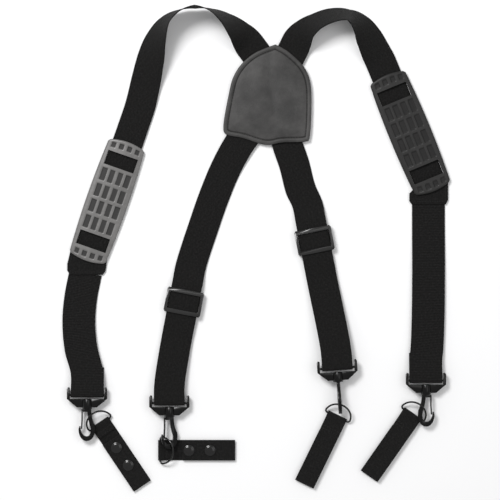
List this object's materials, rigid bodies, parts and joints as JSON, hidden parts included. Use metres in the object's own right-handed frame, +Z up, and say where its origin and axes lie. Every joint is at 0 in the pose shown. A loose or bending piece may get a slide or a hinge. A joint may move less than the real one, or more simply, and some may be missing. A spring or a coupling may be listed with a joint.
{
  "type": "duty belt suspender harness",
  "caption": "X-back suspender harness: webbing straps crossing under a leather patch, rubber shoulder pads, sliders, swivel hooks and press-stud belt keepers",
  "frame": {"origin": "on the table under the middle of the harness as laid out", "axes": "+Y towards the shoulders, +X to the right, +Z up out of the harness face"},
  "size_m": [0.4835, 0.6039, 0.0446],
  "materials": {
    "webbing": "ribbed matte",
    "elastic": "cross-ribbed matte",
    "leather": "grained",
    "pad_rubber": "moulded satin",
    "plastic": "moulded",
    "ring_metal": "glossy black",
    "snap_metal": "glossy black"
  },
  "bodies": {
    "root": {"left_shoulder_strap": "webbing", "right_shoulder_strap": "webbing", "left_front_elastic": "elastic", "right_front_elastic": "elastic", "left_join_tab": "webbing", "right_join_tab": "webbing", "patch_front": "leather", "patch_back": "leather", "front_left_hook_frame": "plastic", "rear_left_hook_frame": "plastic", "rear_right_hook_frame": "plastic", "front_right_hook_frame": "plastic"},
    "left_pad": {"left_shoulder_pad": "pad_rubber"},
    "right_pad": {"right_shoulder_pad": "pad_rubber"},
    "left_slider": {"left_rear_slider": "plastic"},
    "right_slider": {"right_rear_slider": "plastic"},
    "front_left_hook_body": {"front_left_hook": "plastic"},
    "front_left_gate_body": {"front_left_gate": "plastic"},
    "front_left_ring": {"front_left_d_ring": "ring_metal"},
    "front_left_keeper": {"front_left_keeper_strap": "webbing", "front_left_snap_stud_1": "snap_metal", "front_left_snap_stud_2": "snap_metal"},
    "front_left_flap": {"front_left_keeper_flap": "webbing", "front_left_snap_cap_1": "snap_metal", "front_left_snap_cap_2": "snap_metal"},
    "rear_left_hook_body": {"rear_left_hook": "plastic"},
    "rear_left_gate_body": {"rear_left_gate": "plastic"},
    "rear_left_ring": {"rear_left_d_ring": "ring_metal"},
    "rear_left_keeper": {"rear_left_keeper_strap": "webbing", "rear_left_snap_stud_1": "snap_metal", "rear_left_snap_stud_2": "snap_metal"},
    "rear_left_flap": {"rear_left_keeper_flap": "webbing", "rear_left_snap_cap_1": "snap_metal", "rear_left_snap_cap_2": "snap_metal"},
    "rear_right_hook_body": {"rear_right_hook": "plastic"},
    "rear_right_gate_body": {"rear_right_gate": "plastic"},
    "rear_right_ring": {"rear_right_d_ring": "ring_metal"},
    "rear_right_keeper": {"rear_right_keeper_strap": "webbing", "rear_right_snap_stud_1": "snap_metal", "rear_right_snap_stud_2": "snap_metal"},
    "rear_right_flap": {"rear_right_keeper_flap": "webbing", "rear_right_snap_cap_1": "snap_metal", "rear_right_snap_cap_2": "snap_metal"},
    "front_right_hook_body": {"front_right_hook": "plastic"},
    "front_right_gate_body": {"front_right_gate": "plastic"},
    "front_right_ring": {"front_right_d_ring": "ring_metal"},
    "front_right_keeper": {"front_right_keeper_strap": "webbing", "front_right_snap_stud_1": "snap_metal", "front_right_snap_stud_2": "snap_metal"},
    "front_right_flap": {"front_right_keeper_flap": "webbing", "front_right_snap_cap_1": "snap_metal", "front_right_snap_cap_2": "snap_metal"}
  },
  "joints": [
    {"name": "left_pad_slide", "type": "slide", "parent": "root", "child": "left_pad", "axis": [0.3305, 0.9438, 0], "range_m": [0, 0.012]},
    {"name": "right_pad_slide", "type": "slide", "parent": "root", "child": "right_pad", "axis": [-0.3811, 0.9245, 0], "range_m": [0, 0.012]},
    {"name": "left_slider_slide", "type": "slide", "parent": "root", "child": "left_slider", "axis": [-0.1908, -0.9816, 0], "range_m": [-0.005, 0.005]},
    {"name": "right_slider_slide", "type": "slide", "parent": "root", "child": "right_slider", "axis": [0.1908, -0.9816, 0], "range_m": [-0.005, 0.005]},
    {"name": "front_left_hook_swivel", "type": "hinge", "parent": "root", "child": "front_left_hook_body", "pos_m": [-0.2105, -0.1843, 0.0079], "axis": [0, 1, 0], "range_deg": [-60, 60]},
    {"name": "front_left_gate_flex", "type": "hinge", "parent": "front_left_hook_body", "child": "front_left_gate_body", "pos_m": [-0.2166, -0.1999, 0.0079], "axis": [0, 0, 1], "range_deg": [0, 8], "stiffness_Nm_per_rad": 0.05},
    {"name": "front_left_ring_swing", "type": "hinge", "parent": "front_left_hook_body", "child": "front_left_ring", "pos_m": [-0.205, -0.2223, 0.0079], "axis": [0, 1, 0], "range_deg": [0, 40]},
    {"name": "front_left_keeper_swing", "type": "hinge", "parent": "front_left_ring", "child": "front_left_keeper", "pos_m": [-0.1941, -0.2176, 0.0029], "axis": [0.83, 0.5577, 0], "range_deg": [0, 45]},
    {"name": "front_left_flap_unsnap", "type": "hinge", "parent": "front_left_keeper", "child": "front_left_flap", "pos_m": [-0.14307, -0.29355, 0.0015], "axis": [0.83, 0.5577, 0], "range_deg": [0, 150]},
    {"name": "rear_left_hook_swivel", "type": "hinge", "parent": "root", "child": "rear_left_hook_body", "pos_m": [-0.108, -0.1943, 0.0082], "axis": [0, 1, 0], "range_deg": [-60, 60]},
    {"name": "rear_left_gate_flex", "type": "hinge", "parent": "rear_left_hook_body", "child": "rear_left_gate_body", "pos_m": [-0.11386, -0.2099, 0.00988], "axis": [0.2756, 0, 0.9613], "range_deg": [0, 8], "stiffness_Nm_per_rad": 0.05},
    {"name": "rear_left_ring_swing", "type": "hinge", "parent": "rear_left_hook_body", "child": "rear_left_ring", "pos_m": [-0.1028, -0.2383, 0.0063], "axis": [0, 0, 1], "range_deg": [-40, 12]},
    {"name": "rear_left_keeper_swing", "type": "hinge", "parent": "rear_left_ring", "child": "rear_left_keeper", "pos_m": [-0.1195, -0.2505, 0.0029], "axis": [0, 1, 0], "range_deg": [0, 45]},
    {"name": "rear_left_flap_unsnap", "type": "hinge", "parent": "rear_left_keeper", "child": "rear_left_flap", "pos_m": [-0.028, -0.2505, 0.0015], "axis": [0, 1, 0], "range_deg": [0, 150]},
    {"name": "rear_right_hook_swivel", "type": "hinge", "parent": "root", "child": "rear_right_hook_body", "pos_m": [0.1011, -0.1504, 0.0114], "axis": [-0.0698, 0.9976, 0], "range_deg": [-60, 60]},
    {"name": "rear_right_gate_flex", "type": "hinge", "parent": "rear_right_hook_body", "child": "rear_right_gate_body", "pos_m": [0.10219, -0.16596, 0.0053], "axis": [-0.9976, -0.0698, 0], "range_deg": [0, 8], "stiffness_Nm_per_rad": 0.05},
    {"name": "rear_right_ring_swing", "type": "hinge", "parent": "rear_right_hook_body", "child": "rear_right_ring", "pos_m": [0.10466, -0.20128, 0.0114], "axis": [0, 0, 1], "range_deg": [-30, 20]},
    {"name": "rear_right_keeper_swing", "type": "hinge", "parent": "rear_right_ring", "child": "rear_right_keeper", "pos_m": [0.101, -0.2088, 0.0029], "axis": [0.8988, -0.4384, 0], "range_deg": [0, 45]},
    {"name": "rear_right_flap_unsnap", "type": "hinge", "parent": "rear_right_keeper", "child": "rear_right_flap", "pos_m": [0.06089, -0.29104, 0.0055], "axis": [-0.8988, 0.4384, 0], "range_deg": [0, 150]},
    {"name": "front_right_hook_swivel", "type": "hinge", "parent": "root", "child": "front_right_hook_body", "pos_m": [0.2115, -0.1663, 0.0079], "axis": [0, 1, 0], "range_deg": [-60, 30]},
    {"name": "front_right_gate_flex", "type": "hinge", "parent": "front_right_hook_body", "child": "front_right_gate_body", "pos_m": [0.2176, -0.1819, 0.0079], "axis": [0, 0, -1], "range_deg": [0, 8], "stiffness_Nm_per_rad": 0.05},
    {"name": "front_right_ring_swing", "type": "hinge", "parent": "front_right_hook_body", "child": "front_right_ring", "pos_m": [0.2045, -0.2043, 0.0079], "axis": [1, 0, 0], "range_deg": [0, 25]},
    {"name": "front_right_keeper_swing", "type": "hinge", "parent": "front_right_ring", "child": "front_right_keeper", "pos_m": [0.1945, -0.2063, 0.0029], "axis": [0.8192, -0.5736, 0], "range_deg": [0, 45]},
    {"name": "front_right_flap_unsnap", "type": "hinge", "parent": "front_right_keeper", "child": "front_right_flap", "pos_m": [0.14202, -0.28125, 0.0055], "axis": [-0.8192, 0.5736, 0], "range_deg": [0, 150]}
  ]
}
